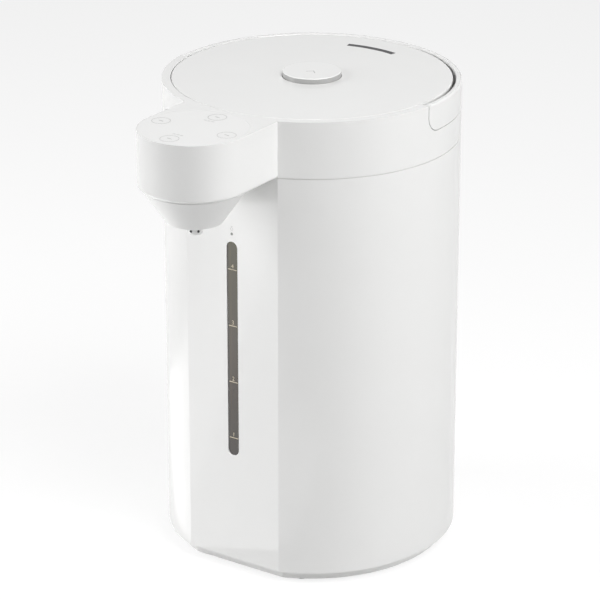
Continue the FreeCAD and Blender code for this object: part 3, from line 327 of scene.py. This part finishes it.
# Front panel: white ABS over the shell's flat front, with a slot for the water window.
# It is polished in the mould, so that it mirrors the studio.
gloss_abs = grained_finish("polished_white_abs", "f2f2f1", 0.03, grain_mm=6, grain_depth_mm=0.002, coat=0.5)
dress(gloss_abs, "front_panel")

# Window lens: smoked polycarbonate that fills the slot, with a flange behind the panel.
# Its colour is painted light and shade for what lies behind it: over the dark gap, painted shade that falls
# from olive to brown towards the bottom, and painted light on the sight tube as a paler upright streak.
lens_low, lens_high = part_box("window_lens")
lens_half = 0.0045
lens_cloud_mm = 16.667
painted_tube_light_share = 0.55
olive_top, brown_middle, brown_foot = "504a2c", "4a3b28", "2c1f14"
dark_edge, tube_edge, tube_middle = "3c3a2c", "9a9a84", "a6a692"
beside_tube, open_gap, far_edge = "808070", "808068", "6a6a52"
smoked_lens, tree = new_material("smoked_polycarbonate_painted_light_and_shade")
place = add(tree, "ShaderNodeTexCoord").outputs["Object"]
axes = add(tree, "ShaderNodeSeparateXYZ", {0: place})
rise = add(tree, "ShaderNodeMapRange", {"Value": axes.outputs["Z"], "From Min": lens_low[2],
                                        "From Max": lens_high[2]})
# Painted shade of the gap behind the lens: darker towards the bottom.
painted_gap_shade = add(tree, "ShaderNodeValToRGB", {0: rise.outputs[0]})
painted_gap_shade.color_ramp.elements[0].color = linear(brown_foot)
painted_gap_shade.color_ramp.elements[1].color = linear(olive_top)
painted_gap_shade.color_ramp.elements.new(0.45).color = linear(brown_middle)
# Painted light: the lit sight tube behind the lens, drawn as a paler upright streak.
across = add(tree, "ShaderNodeMapRange", {"Value": axes.outputs["X"], "From Min": -lens_half,
                                          "From Max": lens_half})
painted_tube_light = add(tree, "ShaderNodeValToRGB", {0: across.outputs[0]})
painted_tube_light.color_ramp.elements[0].color = linear(dark_edge)
painted_tube_light.color_ramp.elements[1].color = linear(far_edge)
for at, code in ((0.16, dark_edge), (0.22, tube_edge), (0.34, tube_middle), (0.42, beside_tube),
                 (0.9, open_gap)):
    painted_tube_light.color_ramp.elements.new(at).color = linear(code)
tint = add(tree, "ShaderNodeMix", {0: painted_tube_light_share, 6: painted_gap_shade.outputs[0], 7: painted_tube_light.outputs[0]},
           data_type="RGBA", blend_type="OVERLAY")
cloud = add(tree, "ShaderNodeTexNoise", {"Vector": place, "Scale": 1000 / lens_cloud_mm, "Detail": 2.0})
rough = add(tree, "ShaderNodeMapRange", {"Value": cloud.outputs[0], "To Min": 0.05, "To Max": 0.12})
skin = add(tree, "ShaderNodeBsdfPrincipled", {
    "Base Color": tint.outputs[2], "Roughness": rough.outputs[0], "IOR": 1.58, "Transmission Weight": 0.05})
add(tree, "ShaderNodeOutputMaterial", {"Surface": skin.outputs[0]})
dress(smoked_lens, "window_lens")

# Water marks: four short lines with plain numbers above them, for the litres in the pot.
# They are screen-printed on the lens in a beige ink with a speckled edge.


# Screen ink: a thin opaque film, speckled by the mesh of the screen.
def screen_ink(name, colour, roughness):
    material, tree = new_material(name)
    place = add(tree, "ShaderNodeTexCoord").outputs["Object"]
    speckle_mm = 0.12
    speckle = add(tree, "ShaderNodeTexNoise", {"Vector": place, "Scale": 1000 / speckle_mm, "Detail": 2.0})
    tint = add(tree, "ShaderNodeMix", {0: speckle.outputs[0], 6: shade(colour, 0.88), 7: linear(colour)},
               data_type="RGBA")
    bump = add(tree, "ShaderNodeBump", {"Height": speckle.outputs[0], "Strength": 0.2, "Distance": 0.000005})
    skin = add(tree, "ShaderNodeBsdfPrincipled", {
        "Base Color": tint.outputs[2], "Roughness": roughness, "IOR": 1.5, "Normal": bump.outputs[0]})
    add(tree, "ShaderNodeOutputMaterial", {"Surface": skin.outputs[0]})
    return material


# The CAD nodes stay selected after model.glb is imported, so each new mesh starts by letting go of all.
def clear_selection():
    bpy.ops.object.select_all(action="DESELECT")


# Gives a flat print the thickness of its ink.
def thicken(print_mesh, thick):
    shell = print_mesh.modifiers.new("thickness", "SOLIDIFY")
    shell.thickness = thick
    shell.offset = 0
    bpy.context.view_layer.objects.active = print_mesh
    bpy.ops.object.modifier_apply(modifier=shell.name)


# A printed bar with rounded ends, flat on a panel or upright on the front.
def printed_bar(x, y, z, length, line, thick, turn=0.0, upright=False):
    clear_selection()
    lean = math.radians(90) if upright else 0
    bpy.ops.mesh.primitive_circle_add(vertices=16, radius=line / 2, fill_type="NGON", location=(x, y, z),
                                      rotation=(lean, 0, turn))
    bar = bpy.context.object
    for vertex in bar.data.vertices:
        if vertex.co.x > 0:
            vertex.co.x += (length - line) / 2
        else:
            vertex.co.x -= (length - line) / 2
    thicken(bar, thick)
    return bar


def join(pieces):
    clear_selection()
    for piece in pieces:
        piece.select_set(True)
    bpy.context.view_layer.objects.active = pieces[0]
    bpy.ops.object.join()
    return bpy.context.object


# Puts a piece's place into its mesh, gives it its finish and fixes it to its body.
def finish_piece(piece, name, body, material):
    clear_selection()
    piece.select_set(True)
    bpy.context.view_layer.objects.active = piece
    bpy.ops.object.transform_apply(location=True, rotation=True, scale=True)
    piece.name = name
    piece.data.name = name
    piece.data.materials.clear()
    piece.data.materials.append(material)
    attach(piece, body)


ink_thick = 0.00004
mark_levels = (0.2262, 0.1851, 0.1436, 0.1017)
mark_long, mark_line = 0.0070, 0.0006
digit_rise, digit_size = 0.0011, 0.0042
mark_y = lens_low[1] - ink_thick / 2
prints = []
for number, level in zip("4321", mark_levels):
    prints.append(printed_bar(0, mark_y, level, mark_long, mark_line, ink_thick, upright=True))
    clear_selection()
    bpy.ops.object.text_add(location=(0, mark_y, level + digit_rise), rotation=(math.radians(90), 0, 0))
    digit = bpy.context.object
    digit.data.body = number
    digit.data.size = digit_size
    digit.data.align_x = "CENTER"
    digit.data.extrude = ink_thick / 2
    bpy.ops.object.convert(target="MESH")
    prints.append(bpy.context.object)
beige_ink = screen_ink("beige_screen_ink", "d9cdb4", 0.45)
finish_piece(join(prints), "water_marks", "pot", beige_ink)

# Indicator: a light pipe of moulded grey acrylic, set in the front panel.
# It is dark, since the pot is off.
light_pipe = grained_finish("grey_light_pipe", "8d8d8b", 0.15, grain_mm=0.4)
dress(light_pipe, "indicator_lens")

# Lamp mark: a small ring with a bar above it, like a drop, over the indicator.
# It is screen-printed on the front panel in light grey ink.


# A printed ring: an open circle whose edge is drawn inward, then given the ink's thickness.
def printed_ring(x, y, z, radius, line, thick, upright=False):
    clear_selection()
    lean = math.radians(90) if upright else 0
    bpy.ops.mesh.primitive_circle_add(vertices=48, radius=radius, location=(x, y, z), rotation=(lean, 0, 0))
    ring = bpy.context.object
    inner = (radius - line) / radius
    bpy.ops.object.mode_set(mode="EDIT")
    bpy.ops.mesh.select_all(action="SELECT")
    bpy.ops.mesh.extrude_region_move()
    bpy.ops.transform.resize(value=(inner, inner, inner))
    bpy.ops.mesh.select_all(action="SELECT")
    bpy.ops.mesh.normals_make_consistent(inside=False)
    bpy.ops.object.mode_set(mode="OBJECT")
    thicken(ring, thick)
    return ring


lamp_low, lamp_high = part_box("indicator_lens")
lamp_level = (lamp_low[2] + lamp_high[2]) / 2
drop_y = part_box("front_panel")[0][1] - ink_thick / 2
drop_rise, drop_radius, drop_line = 0.0036, 0.0011, 0.0003
stroke_rise, stroke_long, stroke_line = 0.0055, 0.0014, 0.0004
drop = printed_ring(0, drop_y, lamp_level + drop_rise, drop_radius, drop_line, ink_thick, upright=True)
stroke = printed_bar(0, drop_y, lamp_level + stroke_rise, stroke_long, stroke_line, ink_thick, upright=True)
light_grey_ink = screen_ink("light_grey_ink", "c2c2c1", 0.4)
finish_piece(join([drop, stroke]), "lamp_mark", "pot", light_grey_ink)

# Collar: the ring at the top, one moulding of the same satin white ABS as the base. It holds the
# spout housing, the handle's pocket, the fixed hinge arm and the deck that carries the pot's rim.
dress(satin_abs, "top_collar")

# Spout cover: the underside of the spout with its funnel, let into the collar's housing.
# It is white ABS from a tool with a matt texture.
matt_abs = grained_finish("matt_white_abs", "e9e9e8", 0.5)
dress(matt_abs, "spout_cover")

# Nozzle: a short moulded tube of pale grey nylon in the funnel, at the end of the spout hose.
# Its mould grain is a little coarser than the ABS's.
pale_nylon = grained_finish("pale_grey_nylon", "c9cac9", 0.4, grain_mm=0.5, grain_depth_mm=0.008)
dress(pale_nylon, "spout_nozzle")

# Nozzle sleeve: soft white silicone, whose satin skin takes the same finish as the ABS beside it.
# It is a turned form with a chamfered foot, a narrow mouth and a wider socket, pushed onto the nozzle.
touch_low, touch_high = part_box("touch_panel")
spout_y = (touch_low[1] + touch_high[1]) / 2
nozzle_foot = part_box("spout_nozzle")[0][2]
sleeve_radius, mouth_radius, socket_radius = 0.0050, 0.0024, 0.0043
sleeve_low, sleeve_high = nozzle_foot - 0.0042, nozzle_foot + 0.0035
foot_chamfer, mouth_deep = 0.0006, 0.0040
sleeve_profile = (
    (mouth_radius, sleeve_low),
    (sleeve_radius - foot_chamfer, sleeve_low),
    (sleeve_radius, sleeve_low + foot_chamfer),
    (sleeve_radius, sleeve_high),
    (socket_radius, sleeve_high),
    (socket_radius, sleeve_low + mouth_deep),
    (mouth_radius, sleeve_low + mouth_deep),
    (mouth_radius, sleeve_low))
clear_selection()
bpy.ops.mesh.primitive_circle_add(vertices=48, radius=mouth_radius, location=(0, spout_y, sleeve_low))
sleeve = bpy.context.object
bpy.ops.object.mode_set(mode="EDIT")
bpy.ops.mesh.select_all(action="SELECT")
for (radius_before, level_before), (radius, level) in zip(sleeve_profile, sleeve_profile[1:]):
    bpy.ops.mesh.extrude_region_move()
    bpy.ops.transform.resize(value=(radius / radius_before, radius / radius_before, 1))
    bpy.ops.transform.translate(value=(0, 0, level - level_before))
bpy.ops.mesh.select_all(action="SELECT")
bpy.ops.mesh.remove_doubles(threshold=0.000001)
bpy.ops.mesh.normals_make_consistent(inside=False)
bpy.ops.object.mode_set(mode="OBJECT")
sleeve.data.shade_smooth()
finish_piece(sleeve, "nozzle_sleeve", "pot", satin_abs)

# Drip holes: two round holes in the side of the sleeve, near its foot, shown as painted shade.
# Each is drawn as a black disc with a soft edge, let into the sleeve's wall, for the shade inside the hole.
drip_azimuth, drip_spread = 34, 30
drip_radius, drip_deep, drip_rise, drip_edge = 0.0009, 0.0006, 0.0026, 0.0002
holes = []
for side in (-1, 1):
    angle = math.radians(drip_azimuth + side * drip_spread)
    hole_place = (sleeve_radius * math.sin(angle), spout_y - sleeve_radius * math.cos(angle),
                  sleeve_low + drip_rise)
    clear_selection()
    bpy.ops.mesh.primitive_cylinder_add(vertices=24, radius=drip_radius, depth=drip_deep,
                                        location=hole_place, rotation=(math.radians(90), 0, angle))
    hole = bpy.context.object
    edge = hole.modifiers.new("soft_edge", "BEVEL")
    edge.width = drip_edge
    edge.segments = 2
    bpy.ops.object.modifier_apply(modifier=edge.name)
    holes.append(hole)
# The discs take black nylon's colour as painted shade for the holes.
finish_piece(join(holes), "drip_holes_painted_shade", "pot", black_nylon)

# Touch panel: the spout's top, in the same polished white ABS as the front panel.
# A small board with the key sensors lies under it.
dress(gloss_abs, "touch_panel")
dress(solder_mask, "touch_board")

# Touch keys: four rings, each with a plain dash, and a row of plain dashes beside the rear and the
# front key. They are screen-printed on the touch panel in grey ink.
touch_x = (touch_low[0] + touch_high[0]) / 2
print_level = touch_high[2] + ink_thick / 2
key_reach, key_radius, key_line = 0.0265, 0.0064, 0.00035
dash_long, dash_line, dash_turn = 0.0042, 0.0007, math.radians(-8)
row_reach, row_step, row_long, row_line, row_turn = 0.0172, 0.0030, 0.0022, 0.0006, math.radians(12)
prints = []
for side_x, side_y in ((1, 0), (-1, 0), (0, 1), (0, -1)):
    key_x, key_y = touch_x + side_x * key_reach, spout_y + side_y * key_reach
    prints.append(printed_ring(key_x, key_y, print_level, key_radius, key_line, ink_thick))
    prints.append(printed_bar(key_x, key_y, print_level, dash_long, dash_line, ink_thick, turn=dash_turn))
for side_y in (1, -1):
    for step in (-1, 0, 1):
        dash_x, dash_y = touch_x + step * row_step, spout_y + side_y * row_reach
        prints.append(printed_bar(dash_x, dash_y, print_level, row_long, row_line, ink_thick, turn=row_turn))
grey_ink = screen_ink("grey_screen_ink", "a9a9a8", 0.4)
finish_piece(join(prints), "touch_keys", "pot", grey_ink)

# Lid: a satin white ABS cover with hinge knuckles, over a liner of grey polypropylene.
# Four plated screws hold them together, and the lid turns on a plated steel pin at the back.
dress(satin_abs, "lid_cover")
dress(grey_polypropylene, "lid_liner")
dress(zinc_steel, "lid_screws", "lid_hinge_pin")

# Inner plate and gasket: a disc of the pot's brushed stainless steel closes the lid's plug.
# A moulded ring of white silicone seals the lid against the pot's rim.
dress(pot_steel, "lid_inner_plate")
dress(silicone, "lid_gasket")

# Steam duct: a curved channel moulded in black glass-filled nylon.
# It stands in the liner and leads the steam from the inner plate's holes up to the vent.
dress(black_nylon, "steam_duct")

# Vent shade: a dark, coarse-grained strip of painted shade that covers the lid's curved slot and lies on its
# edges.
# A little wider than the slot, it gives the dark line that the photograph shows.
vent_radius, vent_half_angle, vent_wide, vent_thick = 0.0760, math.radians(14.5), 0.0042, 0.00015
lid_top = touch_high[2]
clear_selection()
bpy.ops.mesh.primitive_plane_add(size=1, location=(0, 0, 0))
strip = bpy.context.object
bpy.ops.object.mode_set(mode="EDIT")
bpy.ops.mesh.select_all(action="SELECT")
bpy.ops.transform.resize(value=(vent_wide, vent_thick, 1))
bpy.ops.transform.rotate(value=math.radians(90), orient_axis="X", center_override=(0, 0, 0))
bpy.ops.transform.translate(value=(vent_radius, 0, lid_top + vent_thick / 2))
bpy.ops.mesh.spin(steps=24, angle=2 * vent_half_angle, center=(0, 0, 0), axis=(0, 0, 1))
bpy.ops.mesh.select_all(action="SELECT")
bpy.ops.mesh.remove_doubles(threshold=0.000001)
bpy.ops.mesh.normals_make_consistent(inside=False)
bpy.ops.object.mode_set(mode="OBJECT")
azimuths = [math.atan2(v.co.y, v.co.x) for v in strip.data.vertices]
strip_middle = (min(azimuths) + max(azimuths)) / 2
strip.rotation_euler = (0, 0, math.radians(90) - strip_middle)
# Its dark colour is painted shade for the slot.
vent_shade_finish = grained_finish("vent_painted_shade", "3c3c3e", 0.6, grain_mm=0.4, grain_depth_mm=0.06)
finish_piece(strip, "vent_shade_strip", "lid", vent_shade_finish)

# Lid button: white ABS, whose side is given a grey colour as painted shade. It slides in the lid's round
# opening.
# A small chevron on its top, in grey, points to the hinge.
button_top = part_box("lid_button")[1][2]
cap_edge = 0.0006
button_grain_mm = 0.25
chevron_x, chevron_y, chevron_half, chevron_line = 0.0020, -0.0010, 0.0036, 0.0005
button_abs, tree = new_material("white_abs_painted_side_shade")
place = add(tree, "ShaderNodeTexCoord").outputs["Object"]
axes = add(tree, "ShaderNodeSeparateXYZ", {0: place})
off = add(tree, "ShaderNodeMath", {0: axes.outputs["X"], 1: chevron_x}, operation="SUBTRACT")
off = add(tree, "ShaderNodeMath", {0: off.outputs[0]}, operation="ABSOLUTE")
arm = add(tree, "ShaderNodeMath", {0: axes.outputs["Y"], 1: chevron_y}, operation="SUBTRACT")
arm = add(tree, "ShaderNodeMath", {0: arm.outputs[0], 1: off.outputs[0]}, operation="ADD")
on_line = add(tree, "ShaderNodeMath", {0: arm.outputs[0], 1: 0.0, 2: chevron_line}, operation="COMPARE")
in_reach = add(tree, "ShaderNodeMath", {0: off.outputs[0], 1: chevron_half}, operation="LESS_THAN")
printed = add(tree, "ShaderNodeMath", {0: on_line.outputs[0], 1: in_reach.outputs[0]}, operation="MULTIPLY")
on_top = add(tree, "ShaderNodeMath", {0: axes.outputs["Z"], 1: button_top - cap_edge},
             operation="GREATER_THAN")
printed = add(tree, "ShaderNodeMath", {0: printed.outputs[0], 1: on_top.outputs[0]}, operation="MULTIPLY")
grain = add(tree, "ShaderNodeTexNoise", {"Vector": place, "Scale": 1000 / button_grain_mm})
bump = add(tree, "ShaderNodeBump", {"Height": grain.outputs[0], "Strength": 0.35, "Distance": 0.000004})
# Below the top's edge the side is painted grey: painted shade.
top_and_painted_side_shade = add(tree, "ShaderNodeMix", {0: on_top.outputs[0], 6: linear("b4b4b3"), 7: linear("f1f1f0")},
            data_type="RGBA")
tint = add(tree, "ShaderNodeMix", {0: printed.outputs[0], 6: top_and_painted_side_shade.outputs[2], 7: linear("bdbdbc")},
           data_type="RGBA")
rough = add(tree, "ShaderNodeMapRange", {"Value": grain.outputs[0], "To Min": 0.2, "To Max": 0.26})
skin = add(tree, "ShaderNodeBsdfPrincipled", {
    "Base Color": tint.outputs[2], "Roughness": rough.outputs[0], "IOR": 1.5, "Normal": bump.outputs[0]})
add(tree, "ShaderNodeOutputMaterial", {"Surface": skin.outputs[0]})
dress(button_abs, "lid_button")

# Button spring: bright drawn spring wire in five turns, which stands on the liner under the button.
# The button squeezes it as it goes down; here it stands at rest.


# Winds a ring of round wire up its length, closes its ends and turns it to lie along an axis.
def wound_spring(start, along, length, radius, wire, turns):
    clear_selection()
    bpy.ops.mesh.primitive_circle_add(vertices=10, radius=wire / 2, location=(0, 0, 0),
                                      rotation=(math.radians(90), 0, 0))
    spring = bpy.context.object
    bpy.ops.object.transform_apply(rotation=True)
    for vertex in spring.data.vertices:
        vertex.co.x += radius
    helix = spring.modifiers.new("helix", "SCREW")
    helix.axis = "Z"
    helix.angle = 2 * math.pi * turns
    helix.screw_offset = length - wire
    helix.steps = helix.render_steps = 24 * turns
    bpy.ops.object.modifier_apply(modifier=helix.name)
    bpy.ops.object.mode_set(mode="EDIT")
    bpy.ops.mesh.select_all(action="SELECT")
    bpy.ops.mesh.fill_holes(sides=0)
    bpy.ops.mesh.normals_make_consistent(inside=False)
    bpy.ops.object.mode_set(mode="OBJECT")
    spring.data.shade_smooth()
    spring.rotation_euler = Vector(along).to_track_quat("Z", "Y").to_euler()
    spring.location = Vector(start) + Vector(along) * wire / 2
    return spring


spring_wire = worked_metal("bright_spring_wire", "d4d4d6", 0.18, line_mm=0.15)
spring_low, spring_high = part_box("button_spring")
spring_long = spring_high[2] - spring_low[2]
button_coil = wound_spring(start=(0, 0, spring_low[2]), along=(0, 0, 1), length=spring_long,
                           radius=0.0056, wire=0.0010, turns=5)
finish_piece(button_coil, "button_coil", "lid", spring_wire)
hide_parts("button_spring")
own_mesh(button_coil)

# Latch bolt: a moulding of the liner's grey polypropylene, which slides on rails in the lid.
# The button's sloped rib draws it back as the button goes down.
dress(grey_polypropylene, "latch_bolt")

# Latch spring: the same bright wire in seven smaller turns, between the bolt and a post of the liner.
# The bolt squeezes it towards the post as it goes back; here it stands at rest.
spring_low, spring_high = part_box("latch_spring")
spring_long = spring_high[1] - spring_low[1]
spring_level = (spring_low[2] + spring_high[2]) / 2
latch_coil = wound_spring(start=(0, spring_low[1], spring_level), along=(0, 1, 0), length=spring_long,
                          radius=0.0020, wire=0.0007, turns=7)
finish_piece(latch_coil, "latch_coil", "lid", spring_wire)
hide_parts("latch_spring")
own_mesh(latch_coil)

# Carrying handle: a band of the same satin white ABS, which lies in the collar's pocket.
# It swings up on two plated steel pins in the collar's sides.
dress(satin_abs, "carry_handle")
dress(zinc_steel, "handle_pivot_pins")
